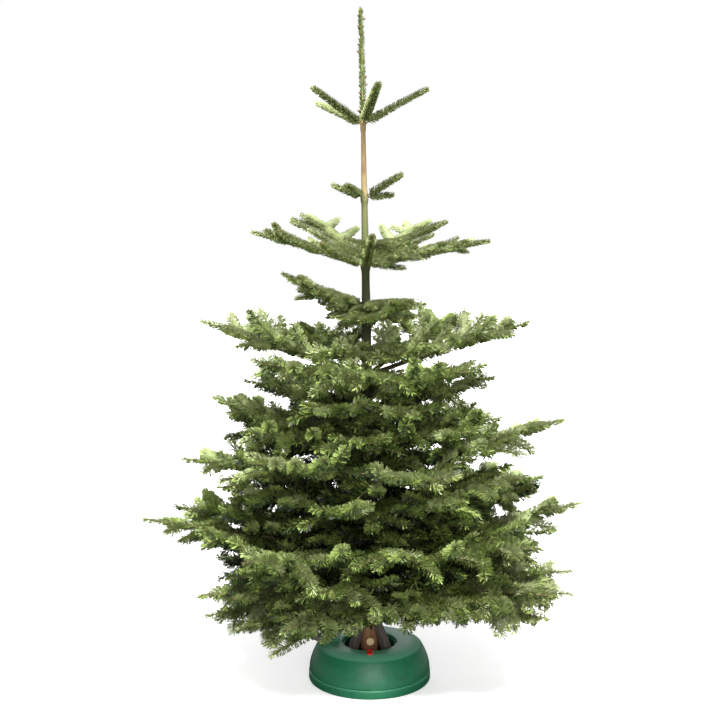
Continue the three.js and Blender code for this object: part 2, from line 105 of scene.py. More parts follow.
def newMaterial(name, roughness, index, specular, code="#ffffff"):
    material = emptyNodes(bpy.data.materials.new(name))
    principled = addNode(material, "BsdfPrincipled", {
        "Base Color": srgb(code), "Roughness": roughness, "IOR": index, "Specular IOR Level": specular,
    })
    addNode(material, "OutputMaterial", {"Surface": principled})
    return material, principled


# Needles are waxy, so they shine a little; each tint is one plain colour for whole shoots. The tints are lit
# and shaded steps of one green, painted light and shade: the palest are painted light on outer shoots, the
# darkest painted shade deep in the crown.
needleTints = {
    "firNeedlePaintedLit": "#97a071",
    "firNeedleBright": "#8e9a6a",
    "firNeedleMid": "#869650",
    "firNeedleDeep": "#6b7d3c",
    "firNeedleShade": "#4c5f28",
    "firNeedlePaintedDeepShade": "#27361a",
    "firNeedlePaintedDarkestShade": "#131b0a",  # painted shade, the darkest, for shoots deep in the crown
}

# Living bark of a young fir is matt and smooth, with resin blisters and fine long cracks.
bark = {
    "blister": 9 * mm, "stretch": 0.18, "reddish": 0.75, "relief": 0.8 * mm,
    "cracks": [(0.0, "#4a3226"), (0.6, "#5e3d2c"), (1.0, "#7a5a3a")],
}

# From brown at the foot, through grey-green, to the yellow-green of the last years' stem. The dark stretch
# from about a fifth to two fifths of the height is painted shade where the crown hangs over the trunk.
barkByHeight = [
    (0.0, "#946444"), (0.1, "#8a6548"), (0.17, "#6a5c48"), (0.21, "#3c382a"), (0.4, "#3c3c2a"),
    (0.46, "#5d6044"), (0.53, "#42462d"), (0.62, "#3d4429"), (0.64, "#565d38"), (0.72, "#646840"),
    (0.735, "#8f7f58"), (0.83, "#9c8a64"), (0.86, "#848f56"), (1.0, "#8d9a5c"),
]


def makeBark(name, colours, plate):
    material, shader = newMaterial(name, 0.78, 1.48, 0.3)
    place = addNode(material, "TexCoord").outputs["Object"]
    height = addNode(material, "SeparateXYZ", {"Vector": place}).outputs["Z"]
    stretched = addNode(material, "Mapping", {"Vector": place, "Scale": (1, 1, bark["stretch"])})
    streak = addNode(material, "TexNoise", {
        "Vector": stretched, "Scale": 1 / plate, "Detail": 5, "Roughness": 0.6,
    })
    blister = addNode(material, "TexVoronoi", {"Vector": place, "Scale": 1 / bark["blister"]})
    share = addNode(material, "MapRange", {"Value": height, "From Max": cadBounds[1][2]})
    base = addNode(material, "ValToRGB", {"Fac": share}, colours)
    reddish = addNode(material, "ValToRGB", {"Fac": share}, bark["cracks"])
    amount = addNode(material, "MapRange", {
        "Value": streak, "From Min": 0.5, "From Max": 0.68, "To Max": bark["reddish"],
    })
    mixed = addNode(material, "Mix", {
        "Factor": amount, "A": base, "B": reddish,
    }, data_type="RGBA")
    dots = addNode(material, "MapRange", {
        "Value": blister, "From Max": 0.35, "To Min": 1.0, "To Max": 0.0,
    })
    relief = addNode(material, "Math", {
        0: streak, 1: dots,
    }, operation="ADD")
    bump = addNode(material, "Bump", {
        "Height": relief, "Strength": 0.5, "Distance": bark["relief"],
    })
    setInputs(material, shader, {"Base Color": mixed, "Normal": bump})
    return material


def newObject(name, data):
    made = bpy.data.objects.new(name, data)
    bpy.context.scene.collection.objects.link(made)
    return made


def meshObject(name, points, faces, materials, materialOf=None):
    # faces is a list of index arrays, each with one row per face
    mesh = bpy.data.meshes.new(name)
    counts = np.concatenate([np.full(len(f), f.shape[1]) for f in faces])
    loops = np.concatenate([f.ravel() for f in faces])
    mesh.vertices.add(len(points))
    mesh.vertices.foreach_set("co", np.asarray(points, dtype=np.float32).ravel())
    mesh.loops.add(len(loops))
    mesh.loops.foreach_set("vertex_index", loops.astype(np.int32))
    mesh.polygons.add(len(counts))
    starts = np.concatenate([[0], np.cumsum(counts)[:-1]])
    mesh.polygons.foreach_set("loop_start", starts.astype(np.int32))
    for material in materials:
        mesh.materials.append(material)
    if materialOf is not None:
        mesh.polygons.foreach_set("material_index", materialOf.astype(np.int32))
    mesh.update(calc_edges=True)
    mesh.shade_smooth()
    return newObject(name, mesh)


def bmeshObject(name, mesh, material):
    data = bpy.data.meshes.new(name)
    mesh.to_mesh(data)
    mesh.free()
    data.materials.append(material)
    return newObject(name, data)


def unit(v):
    return v / np.maximum(np.linalg.norm(v, axis=-1, keepdims=True), 1e-9)


def acrossOf(tangent):
    # two directions across it, the second as near to upright as can be
    reference = np.where(np.abs(tangent[:, 2:3]) > 0.92, np.array([1.0, 0.0, 0.0]), up)
    side = unit(np.cross(reference, tangent))
    return side, np.cross(tangent, side)


def wallBetween(rings, sides):
    # four corners for each face between rings of points
    rows = np.arange(rings - 1)[:, None] * sides
    here = np.arange(sides)[None]
    after = (here + 1) % sides
    corners = [rows + here, rows + after, rows + sides + after, rows + sides + here]
    return np.stack(corners, axis=-1).reshape(-1, 4)


def tube(points, radii, sides):
    # open rings of points round a line
    side, over = acrossOf(unit(np.gradient(points, axis=0)))
    turns = np.linspace(0, 2 * math.pi, sides, endpoint=False)
    ring = np.cos(turns)[None, :, None] * side[:, None] + np.sin(turns)[None, :, None] * over[:, None]
    verts = (points[:, None] + ring * np.asarray(radii)[:, None, None]).reshape(-1, 3)
    return verts, wallBetween(len(points), sides)


def joinTubes(name, tubes, material):
    points, faces, offset = [], [], 0
    for verts, quads in tubes:
        points.append(verts)
        faces.append(quads + offset)
        offset += len(verts)
    return meshObject(name, np.concatenate(points), [np.concatenate(faces)], [material])


# The trunk's line and the boughs that leave it, by the same rule as the solids.
trunkSize = {
    "cut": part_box("trunk")[0].z, "top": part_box("trunk")[1].z, "tipRadius": 2.6 * mm, "taper": 1.06,
    "baseRadius": 26.4 * mm, "flare": 2.2 * mm, "flareFade": 45 * mm, "lean": -26 * mm, "leanPower": 1.6,
}


def table(columns, rows):
    return [dict(zip(columns.split(), row)) for row in rows]


# The whorls as the solids have them. Each bough has its azimuth, reach and lift, in millimetres.
whorls = table("name kind height thickness arch droop boughs", [
    ("top_shoots", "ring", 1602, 3.6, 0.1, 0,
     [(208, 167, 92), (142, 178, 82), (286, 150, 92), (358, 192, 104)]),
    ("upper_shoots", "ring", 1397, 3.2, 0, 0,
     [(186, 100, 38), (236, 92, 30), (348, 116, 66), (12, 92, 10)]),
    ("tier1", "direct", 1204, 6.5, 0.25, 0.02,
     [(184, 334, 96), (274, 280, 70), (352, 362, 68), (52, 340, 150), (126, 320, 168)]),
    ("between1", "direct", 1089, 5.5, -0.2, 0.05, [(183, 250, 96), (300, 240, 14)]),
    ("tier2", "limb", 887, 8, 0.1, 0.02,
     [(181, 490, 160), (358, 472, 158), (50, 430, 176), (122, 425, 140)]),
    ("tier2_front", "direct", 880, 8, 0.1, 0.02, [(224, 410, 62), (270, 385, 34), (318, 395, 38)]),
    ("between2", "direct", 792, 6, 0, 0.05,
     [(170, 372, 80), (8, 392, 88), (243, 350, 26), (297, 340, 14)]),
    ("tier3", "limb", 589, 8.6, 0, 0.06,
     [(190, 540, 70), (232, 500, 110), (288, 490, 80), (356, 568, 180), (62, 520, 180), (146, 545, 205)]),
    ("tier4", "direct", 366, 9.5, 0, 0.12,
     [(184, 655, 118), (234, 560, 96), (278, 500, 120), (322, 560, 100), (2, 636, 142), (38, 620, 186),
      (128, 600, 150)]),
    ("tier5", "direct", 273, 9, 0.2, 0.2,
     [(206, 520, 30), (240, 440, -20), (274, 400, 20), (330, 590, 60), (24, 560, 60), (92, 480, 40),
      (156, 540, 20)]),
])
upperTiers = [whorl["name"] for whorl in whorls[:4]]
levelTiers = ("tier1", "between1")  # their shoots keep close to the bough's own plane

# Weaker boughs that leave the trunk between the whorls and fill the middle of the crown. Their
# heights scatter, each by its own draw.
weakWhorls = table("name height thickness arch droop scatter boughs", [
    ("between1", 1080, 4, 0, 0.05, 18,
     [(215, 120, 10), (256, 160, -22), (283, 215, -26), (318, 180, -8), (338, 130, 20), (192, 180, 66)]),
    ("tier3", 640, 6, 0, 0, 0, [(165, 485, 180)]),
    ("tier4", 400, 6, 0, 0, 0, [(182, 575, 108), (24, 600, 158), (350, 540, 60)]),
    ("tier5", 274, 6, 0, 0.05, 0, [(325, 575, 4), (338, 600, 38), (352, 590, 62)]),
    ("tier2", 985, 4, 0, 0, 110,
     [(20, 190, 10), (110, 220, 20), (200, 200, 0), (255, 150, -10), (320, 170, -10)]),
    ("between2", 845, 5, 0, 0.05, 110, [(75, 300, 70), (135, 290, 60), (205, 300, 30), (335, 310, 40)]),
    ("between2", 700, 6, 0, 0.08, 110,
     [(20, 400, 90), (85, 340, 80), (128, 380, 90), (176, 445, 126), (212, 420, 60), (262, 380, 40),
      (315, 400, 50), (342, 400, 60)]),
    ("tier3", 640, 5, 0, 0.1, 110,
     [(45, 300, 20), (100, 300, 30), (155, 320, 40), (225, 300, 0), (275, 280, -10), (330, 330, 20)]),
    ("tier3", 500, 6, 0, 0.12, 110,
     [(18, 470, 120), (72, 400, 90), (112, 420, 100), (160, 480, 120), (208, 470, 90), (256, 440, 50),
      (302, 450, 60), (340, 480, 80)]),
    ("tier4", 430, 5, 0, 0.12, 110,
     [(30, 340, 40), (90, 330, 40), (140, 360, 60), (196, 380, 30), (236, 330, 10), (284, 330, 0),
      (325, 360, 20)]),
    ("tier4", 315, 6, 0.1, 0.16, 110,
     [(10, 520, 60), (58, 440, 70), (104, 430, 70), (172, 540, 60), (218, 480, 20), (258, 450, 0),
      (304, 460, 10), (346, 520, 40)]),
    ("tier5", 245, 5, 0.2, 0.2, 60,
     [(40, 380, 50), (120, 390, 40), (184, 470, -10), (200, 500, -30), (214, 450, -50), (230, 430, -50),
      (247, 360, -20)]),
    ("tier5", 272, 5, 0.3, 0.1, 30,
     [(256, 330, 0), (276, 350, -4), (294, 350, 4), (308, 410, 20), (328, 480, 10), (345, 545, 20),
      (0, 545, 50)]),
    ("tier2", 938, 4, 0, 0, 0, [(298, 170, 0), (334, 220, 44), (216, 170, 20), (24, 230, 60)]),
])

wood = {"slender": 0.62, "perReach": 1 / 1400, "taper": 0.72, "sway": 0.12, "bare": 0.3}

spray = {
    "angle": 52, "angleSpread": 14, "ratio": 0.66, "longer": 22 * mm, "vigour": (0.86, 1.14),
    "shortest": 48 * mm, "pairs": [(600 * mm, 4), (300 * mm, 3), (0, 2)], "jitter": 0.05,
    "tilt": 0.12, "rise": 0.4, "shade": 0.45, "light": 1.3, "tipShoot": 0.34,
}

# how the finer growth goes on from those side shoots, year by year back from each tip
growth = {
    "lastYear": (0.9, 1.15), "yearGap": (0.8, 1.0), "step": 24 * mm, "splitFrom": 1.4, "deepest": 3,
    "sideRatio": 0.62, "sideVary": (0.8, 1.15), "sideLonger": 14 * mm, "sideRange": (66 * mm, 170 * mm),
    "sideAngle": 50, "sideSpread": 20, "missing": 0.08, "bend": 0.16, "roll": 0.5, "lean": 0.25,
    "sag": 0.32, "upright": 0.12, "uprightRange": (40 * mm, 65 * mm), "tipAngle": (40, 58),
    "tipVary": (0.85, 1.15), "tipLonger": 12 * mm, "between": 130 * mm, "betweenRange": (70 * mm, 120 * mm),
    "betweenAngle": (45, 75), "betweenGap": (0.6, 1.2), "betweenRise": (0.05, 0.7),
    "levelRise": (-0.15, 0.15), "forward": 0.45, "twigFoot": 1.35, "twigPerMetre": 6.5, "twigTip": 0.9 * mm,
}

# A year's growth, how far shoots turn up, their needles' length against the full one, how steeply
# they rise, how much denser their needles stand, and over what length those get shorter to the tip.
# On the lower tiers the needles thin out towards the trunk instead.
tierHabit = {row["name"]: row for row in table("name year upturn needle rise dense taper", [
    ("top_shoots", 120 * mm, 0.05, 0.76, None, 2.6, 190 * mm),
    ("upper_shoots", 120 * mm, 0.05, 0.84, None, 2.6, 130 * mm),
    ("tier1", 118 * mm, 0.1, 0.67, (-0.32, 0.34), 1.7, 60 * mm),
    ("between1", 84 * mm, -0.03, 0.76, (-0.3, 0.1), 1.7, 50 * mm),
    ("tier2", 110 * mm, 0.08, 0.97, (-0.05, 0.42), None, 24 * mm),
    ("tier2_front", 108 * mm, 0.0, 1.04, (-0.35, 0.2), None, 24 * mm),
    ("between2", 104 * mm, 0.03, 1.0, (-0.2, 0.35), None, 24 * mm),
    ("tier3", 110 * mm, 0.03, 1.02, (-0.15, 0.42), None, 24 * mm),
    ("tier4", 114 * mm, 0.0, 1.04, (-0.2, 0.35), None, 24 * mm),
    ("tier5", 110 * mm, -0.05, 1.04, (-0.35, 0.22), None, 24 * mm),
])}

# painted light and shade: how much light a shoot would get by its place picks its tint; outer, upper, front
# and lowest ones are painted paler, low ones on the left and those behind darker
paintedDaylight = {
    "least": -0.06, "outward": 1.03, "most": 0.9, "upward": 0.26, "spread": 0.3, "low": 2.2, "lowBelow": 0.2,
    "left": 0.42, "leftFrom": (0.2, 0.3), "behind": 0.26, "behindFrom": (0.06, 0.2),
    "steps": (0.85, 0.69, 0.55, 0.43, 0.31, 0.2),
}

# the crown's underside, how much lower it hangs on either side, behind and in front, and from
# where and over what distance it gets there
underside = {
    "height": 0.278, "left": 0.105, "right": 0.073, "behind": 0.02, "ahead": 0.032, "soft": 16 * mm,
    "leftFrom": (0.13, 0.15), "rightFrom": (0.28, 0.12), "behindFrom": (0, 0.2), "aheadFrom": (0, 0.15),
}


def seededDraw(seed):
    state = seed & 0xFFFFFFFF

    def draw():
        nonlocal state
        state = (state * 1664525 + 1013904223) & 0xFFFFFFFF
        return state / 4294967296

    return draw


def heading(azimuth):
    return np.array([math.cos(math.radians(azimuth)), math.sin(math.radians(azimuth)), 0.0])


def trunkAxis(height):
    share = np.maximum(height, 0) / trunkSize["top"]
    x = trunkSize["lean"] * share ** trunkSize["leanPower"]
    return np.stack([x, np.zeros_like(x), np.asarray(height, dtype=float)], axis=-1)


def trunkRadius(height):
    left = np.maximum(0, 1 - height / trunkSize["top"])
    grown = (trunkSize["baseRadius"] - trunkSize["tipRadius"]) * left ** trunkSize["taper"]
    flare = trunkSize["flare"] * np.exp(-(height - trunkSize["cut"]) / trunkSize["flareFade"])
    return trunkSize["tipRadius"] + grown + flare


def boughLine(whorl, bough, bend):
    azimuth, reach, lift = bough[0], bough[1] * mm, bough[2] * mm
    foot = trunkAxis(whorl["height"] * mm)
    out, side = heading(azimuth), heading(azimuth + 90)

    def at(share):
        s = np.asarray(share, dtype=float)[..., None]
        rise = lift * (s + whorl["arch"] * (s - s * s))
        return foot + out * (reach * s) + side * (bend * reach * s * s) + up * rise

    return at


def axisAt(line, at):
    # a bough's direction there, and the level direction across it
    axis = unit(line(at + 0.01) - line(at - 0.01))
    return axis, unit(np.cross(up, axis))


def swing(axis, across, degrees, side):
    turn = math.radians(degrees) * side
    return axis * math.cos(turn) + across * math.sin(turn)


def between(limits, share):
    return limits[0] + (limits[1] - limits[0]) * share


def ramp(value, start, span):
    # 0 up to the start, and 1 past the span
    return np.clip((value - start) / span, 0, 1)


# The needle: flat, blunt, a little narrower at its foot. Those on top of a shoot lie forward
# over it, those at its sides stand out further, and towards the tip they get shorter.
needle = {
    "length": 23 * mm, "vary": (0.86, 1.08), "onTop": 0.8, "width": 2.4 * mm, "footShare": 0.6,
    "around": 158, "crowded": 0.9, "angleTop": 44, "angleSide": 63, "spread": 5, "closing": 0.18,
    "twist": 0.2, "twistTip": 0.6, "twistWithin": 26 * mm, "rock": 0.16, "droop": 0.08,
    "taperOver": 24 * mm, "tipLength": 0.7, "brush": 8 * mm, "brushAngle": 56, "brushPower": 0.6,
    "least": 0.42, "most": 1.3, "thinWithin": 0.35, "thinning": 1.8, "wide": 1.4, "wideWithin": 0.5,
    "count": 458000, "inPiece": 99000,  # that many stay under 200,000 triangles
}
shoots = []  # every needle-clad shoot: its line, its wood and how its needles stand
boughs = []


def crownReach(height):
    # how far the crown spreads at that height, from the longest bough of each whorl
    wide = [w for w in whorls[::-1] if "between" not in w["name"] and "front" not in w["name"]]
    reaches = [max(b[1] for b in w["boughs"]) * mm for w in wide]
    return float(np.interp(height, [w["height"] * mm for w in wide], reaches))


def outward(place):
    # 0 at the trunk, 1 at the crown's edge
    return math.hypot(place[0], place[1]) / crownReach(place[2])


def addShoot(tier, points, radii, tint, order, fullness=1.0, coat=1.0, **more):
    # shoots deep in the crown have lost most of their needles, and what is left stands wider
    habit = tierHabit[tier]
    out = outward(points[len(points) // 2])
    wide = 1.0
    if habit["dense"]:
        fullness = fullness * habit["dense"]
    else:
        thinned = needle["least"] + needle["thinning"] * (out - needle["thinWithin"])
        fullness = fullness * min(needle["most"], max(needle["least"], thinned))
        wide = needle["wide"] if out < needle["wideWithin"] else 1.0
    shoots.append({
        "tier": tier, "points": points, "radii": radii, "tint": tint, "order": order, "lie": 1.0,
        "fullness": fullness, "coat": coat * habit["needle"], "wide": wide,
        "taper": habit["taper"], "tipLength": needle["tipLength"], **more,
    })


def tintFor(middle, draw):
    # painted light and shade: outer and upper shoots get paler tints as painted light, inner ones deep green
    # tints as painted shade
    d = paintedDaylight
    height = middle[2] / trunkSize["top"]
    lit = min(d["most"], max(outward(middle), 1.5 * height - 0.1))
    exposure = d["least"] + d["outward"] * lit + d["upward"] * height
    exposure += d["low"] * max(0, d["lowBelow"] - height) + d["spread"] * (draw() - 0.5)
    exposure -= d["left"] * ramp(-middle[0], *d["leftFrom"]) * max(0, 1 - 2 * height)
    exposure -= d["behind"] * ramp(middle[1], *d["behindFrom"])
    return sum(exposure < step for step in d["steps"])


def crownFloor(points):
    # over the stand it stays clear of the jaws
    x, y = points[:, 0], points[:, 1]
    leftward = ramp(-x, *underside["leftFrom"])
    rightward = ramp(x, *underside["rightFrom"])
    behind = ramp(y, *underside["behindFrom"]) * (1 - leftward) * (1 - rightward)
    ahead = ramp(-y, *underside["aheadFrom"]) * ramp(0.2 - np.abs(x + 0.02), 0, 0.08)
    lower = underside["left"] * leftward + underside["right"] * rightward
    return underside["height"] - lower - underside["behind"] * behind - underside["ahead"] * ahead


def yearsBack(habit, span, draw):
    # how far back from the tip each year's growth began
    back = habit["year"] * between(growth["lastYear"], draw())
    while back < span:
        yield back
        back += habit["year"] * between(growth["yearGap"], draw())


def growSpray(tier, start, along, length, order, draw, droop=0.0, turned=0.0):
    # one axis with its years of side shoots, back from the tip
    habit = tierHabit[tier]
    steps = max(4, int(length / growth["step"]) + 1)
    flat = unit(np.cross(up, along))
    upturn = habit["upturn"] * (0.5 + draw()) * length
    if order == 1 and tier not in levelTiers:
        # each spray sags or lifts in its own way, so the whorls don't read as level bands
        upturn += growth["sag"] * math.sin(311 * start[0] + 173 * start[1] + 97 * length) * length
    bend = (draw() - 0.5) * growth["bend"] * length

    def at(s):
        return start + along * (length * s) + up * (upturn * s * s) + flat * (bend * s * s)

    points = at(np.linspace(0, 1, steps)[:, None])
    limit = crownFloor(points)
    points[:, 2] = limit + underside["soft"] * np.logaddexp(0, (points[:, 2] - limit) / underside["soft"])
    points[0] = start
    tint = tintFor(points[steps // 2], draw)
    foot = (growth["twigFoot"] + growth["twigPerMetre"] * length) * mm
    addShoot(tier, points, np.linspace(foot, growth["twigTip"], steps), tint, order)
    if order >= growth["deepest"] or length < growth["splitFrom"] * habit["year"]:
        return
    for back in yearsBack(habit, length - growth["step"], draw):
        share = 1 - back / length
        place = at(share)
        way = unit(along + up * (2 * upturn / length * share) + flat * (2 * bend / length * share))
        across = unit(np.cross(up, way))
        for side in (1, -1):
            if draw() < growth["missing"]:
                continue
            sub = growth["sideRatio"] * back * between(growth["sideVary"], draw()) + growth["sideLonger"]
            sub = float(np.clip(sub, *growth["sideRange"]))
            tilted = unit(across + up * (turned * side))
            aim = swing(way, tilted, growth["sideAngle"] + (draw() - 0.5) * growth["sideSpread"], side)
            rise = between(habit["rise"], draw()) - 0.5 * droop + growth["lean"] * aim[1]
            growSpray(tier, place, unit(aim + up * rise), sub, order + 1, draw, droop, turned)
        if draw() < growth["upright"] and tier not in ("tier1", "tier2"):
            aim = unit(way * 0.75 + up * 0.6 + across * (draw() - 0.5))
            growSpray(tier, place, aim, between(growth["uprightRange"], draw()), growth["deepest"], draw)


def sideShoots(whorl, line, reach, first, draw):
    # the solids' rule: pairs of side shoots from the tip inwards
    made = []
    pairs = next(value for least, value in spray["pairs"] if reach >= least)
    gap = (1 - spray["tipShoot"] - first - spray["jitter"] / 2) / (pairs - 0.5)
    for pair in range(pairs):
        for side in (1, -1):
            at = 1 - spray["tipShoot"] - pair * gap + (draw() - 0.5) * spray["jitter"]
            turn = spray["angle"] + (draw() - 0.5) * spray["angleSpread"]
            vigour = between(spray["vigour"], draw())
            light = min(1, spray["shade"] + spray["light"] * at)
            full = reach * (1 - at) * spray["ratio"] * light * vigour + spray["longer"]
            along = swing(*axisAt(line, at), turn, side)
            along[2] += spray["tilt"] * (draw() - spray["rise"]) - whorl["droop"]
            draw()  # the roll of the solids' blade
            made.append((line(at), unit(along), max(spray["shortest"], full)))
    return made


def growBough(whorl, w, bough, b):
    draw = seededDraw(1000 * (w + 1) + 37 * (b + 1))
    finer = seededDraw(77000 + 1000 * (w + 1) + 37 * (b + 1))
    line = boughLine(whorl, bough, (draw() - 0.5) * wood["sway"])
    reach = bough[1] * mm
    tier = whorl["name"]
    habit = tierHabit[tier]
    size = whorl["thickness"] * mm * (wood["slender"] + wood["perReach"] * bough[1])
    foot = (trunkRadius(whorl["height"] * mm) + 2 * mm) / reach
    first = wood["bare"] if whorl["kind"] == "limb" else foot

    share = np.linspace(0, 1 - 13 * mm / reach, max(6, int(reach / (14 * mm))))
    radii = size * (1 - wood["taper"] * share)
    points = line(share)
    boughs.append((points, radii))
    tint = tintFor(line(0.7), finer)
    if whorl["kind"] == "ring":
        clad = share >= 0.04
        addShoot(tier, points[clad], radii[clad], tint, 0, fullness=1.1)
        return
    clad = share >= first * 0.8
    addShoot(tier, points[clad], radii[clad], tint, 0, fullness=1.5, taper=110 * mm, tipLength=0.55)
    for start, along, length in sideShoots(whorl, line, reach, first, draw):
        growSpray(tier, start, along, length, 1, finer, whorl["droop"], growth["roll"] * (finer() - 0.5))

    # the last years of the bough itself
    for back in yearsBack(habit, spray["tipShoot"] * reach * 0.98, finer):
        at = 1 - back / reach
        for side in (1, -1):
            aim = swing(*axisAt(line, at), between(growth["tipAngle"], finer()), side)
            rise = between(habit["rise"], finer()) - 0.5 * whorl["droop"] + growth["lean"] * aim[1]
            length = 0.5 * back * between(growth["tipVary"], finer()) + growth["tipLonger"]
            growSpray(tier, line(at), unit(aim + up * rise), length, 2, finer)

    # weaker shoots between the years, at the sides and on top
    rises = growth["levelRise"] if tier in levelTiers else growth["betweenRise"]
    place = first * reach + 20 * mm
    while place < (1 - 0.6 * spray["tipShoot"]) * reach:
        at = place / reach
        axis, flat = axisAt(line, at)
        side = 1 if finer() < 0.5 else -1
        aim = swing(axis, flat, between(growth["betweenAngle"], finer()), side)
        lift = between(rises, finer()) - growth["forward"] * max(0, -axis[1])
        length = between(growth["betweenRange"], finer()) * (1.25 - 0.4 * at)
        growSpray(tier, line(at), unit(aim + up * lift), length, 2, finer)
        place += growth["between"] * between(growth["betweenGap"], finer())


def lengthOf(shoot):
    return float(np.linalg.norm(np.diff(shoot["points"], axis=0), axis=1).sum())


for w, whorl in enumerate(whorls):
    for b, bough in enumerate(whorl["boughs"]):
        growBough(whorl, w, bough, b)
for w, whorl in enumerate(weakWhorls):
    for b, (azimuth, reach, lift) in enumerate(whorl["boughs"]):
        scatter = seededDraw(5000 + 100 * w + b)
        height = whorl["height"] + whorl["scatter"] * (scatter() - 0.5)
        lift += 0.8 * whorl["scatter"] * (scatter() - 0.5)
        growBough({**whorl, "kind": "direct", "height": height}, 20 + w, (azimuth, reach, lift), b)

# the leader's own needles lie close along it
leader = np.linspace(1612 * mm, trunkSize["top"] - 3 * mm, 26)
addShoot("top_shoots", trunkAxis(leader), trunkRadius(leader), 1, 0, 0.4, 0.72, lie=0.72, taper=30 * mm)
report(f"{len(shoots)} shoots, {sum(lengthOf(s) for s in shoots):.0f} m in all")


def needlesOf(group, seed, perMetre):
    rng = np.random.default_rng(seed)
    pieces = [np.linalg.norm(np.diff(shoot["points"], axis=0), axis=1) for shoot in group]
    owner = np.repeat(np.arange(len(group)), [len(p) for p in pieces])
    wanted = np.concatenate([p * shoot["fullness"] for p, shoot in zip(pieces, group)]) * perMetre
    counts = np.floor(wanted + rng.random(len(wanted))).astype(int)
    pick = np.repeat(np.arange(len(counts)), counts)
    n = len(pick)

    def column(key):
        return np.array([shoot[key] for shoot in group])[owner[pick]]

    begin, end, radius, toTip = [np.concatenate(parts)[pick] for parts in (
        [shoot["points"][:-1] for shoot in group],
        [shoot["points"][1:] for shoot in group],
        [shoot["radii"][:-1] for shoot in group],
        [np.cumsum(p[::-1])[::-1] - p * 0.5 for p in pieces],
    )]
    tangent = unit(end - begin)
    side, over = acrossOf(tangent)
    along = rng.random(n)[:, None]
    around = rng.random(n) * 2 - 1
    around = np.radians(needle["around"]) * np.sign(around) * np.abs(around) ** needle["crowded"]
    flank = np.abs(np.sin(around))
    left = toTip + (0.5 - along[:, 0]) * np.linalg.norm(end - begin, axis=1)
    nearTip = np.clip(1 - left / column("taper"), 0, 1)
    angle = between((needle["angleTop"], needle["angleSide"]), flank)
    closed = needle["closing"] * np.clip(1 - left / needle["taperOver"], 0, 1)
    # the needles round the end bud spread like a pompon
    pompon = needle["brushAngle"] * rng.random(n) ** needle["brushPower"]
    angle = np.where(left < needle["brush"], pompon, angle * (1 - closed) * column("lie"))
    angle = np.radians(angle + rng.normal(0, needle["spread"], n))[:, None]
    radial = np.cos(around)[:, None] * over + np.sin(around)[:, None] * side
    way = unit(np.cos(angle) * tangent + np.sin(angle) * radial)
    length = needle["length"] * between((needle["onTop"], 1), flank) * rng.uniform(*needle["vary"], n)
    length = (length * column("coat") * (1 - (1 - column("tipLength")) * nearTip))[:, None]
    face = unit(np.cos(angle) * radial - np.sin(angle) * tangent)
    turned = np.where(left < needle["twistWithin"], needle["twistTip"], needle["twist"])[:, None]
    face = unit(face * (1 - turned) + over * turned)
    across = unit(np.cross(way, face) + rng.normal(0, needle["rock"], (n, 3)))
    foot = begin + (end - begin) * along + radial * (radius * 0.8)[:, None]
    half = needle["width"] / 2 * column("wide")[:, None]
    close = half * needle["footShare"]
    tip = foot + way * length
    bow = np.cross(across, way) * (length * needle["droop"])
    points = np.stack([
        foot + across * close, foot - across * close + bow,
        tip - across * half, tip + across * half + bow,
    ], axis=1)
    # painted light and shade: needles on top of a shoot take a paler tint as painted light, those at its
    # flanks and below a darker one as painted shade under the shoot
    lot = rng.random(n)
    facing = np.abs(np.degrees(around))
    paler = np.where(facing < 60, 0.42, np.where(facing < 95, 0.16, 0.0))
    paintedShadeShare = np.where(facing < 60, 0.12, np.where(facing < 95, 0.34, 0.85))
    shift = np.where(lot < paler, -1, np.where(lot > 1 - paintedShadeShare, 1, 0))
    shift = shift + ((facing > 110) & (lot > 0.25)) + ((facing > 135) & (lot > 0.3))
    return points, np.clip(column("tint") + shift, 0, len(needleTints) - 1)


def makeNeedles(name, group, materials, seed, perMetre):
    points, tint = needlesOf(group, seed, perMetre)
    n = len(points)
    quads = np.arange(n * 4).reshape(n, 4)
    report(f"{name}: {n} needles, {2 * n} triangles")
    return meshObject(name, points.reshape(-1, 3), [quads], materials, tint)


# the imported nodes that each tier's needles stand for
nodesOf = {w["name"]: [f"needles_{w['name']}_{i + 1}" for i in range(len(w["boughs"]))] for w in whorls}
nodesOf.update({w["name"]: [w["name"]] for w in whorls if w["kind"] == "ring"})

needlePieces = {
    "needles_upper": upperTiers, "needles_tier2": ["tier2", "tier2_front"],
    **{f"needles_{tier}": [tier] for tier in ("between2", "tier3", "tier4", "tier5")},
}
needleMaterials = [newMaterial(name, 0.42, 1.45, 0.5, code)[0] for name, code in needleTints.items()]
perMetre = needle["count"] / sum(lengthOf(s) * s["fullness"] for s in shoots)
report(f"{perMetre:.0f} needles a metre")
seed = 100
for name, tiers in needlePieces.items():
    group = [s for s in shoots if s["tier"] in tiers]
    parts = math.ceil(sum(lengthOf(s) * s["fullness"] for s in group) * perMetre / needle["inPiece"])
    for part in range(parts):
        seed += 1
        some = group[part * len(group) // parts:(part + 1) * len(group) // parts]
        title = name if parts == 1 else f"{name}_{part + 1}"
        piece = makeNeedles(title, some, needleMaterials, seed, perMetre)
        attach(piece, "root")
        if part == 0:
            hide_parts(*[node for tier in tiers for node in nodesOf[tier]])

# twigs under the needles
youngBark = makeBark("youngFirBark", [(0.0, "#6a5a3e"), (0.6, "#6f6a42"), (1.0, "#88844f")], 14 * mm)
oldBark = makeBark("firBark", barkByHeight, 18 * mm)
twigs = [tube(s["points"], s["radii"], 3) for s in shoots if s["order"] > 0]
twigPiece = joinTubes("twigs", twigs, youngBark)
boughBark = makeBark("boughFirBark", [(0.0, "#5b5038"), (0.5, "#5c5a3c"), (1.0, "#7a7a4c")], 14 * mm)
boughPiece = joinTubes("boughs", [tube(points, radii, 8) for points, radii in boughs], boughBark)
report(f"twigs {len(twigPiece.data.polygons) * 2}, boughs {len(boughPiece.data.polygons) * 2} triangles")

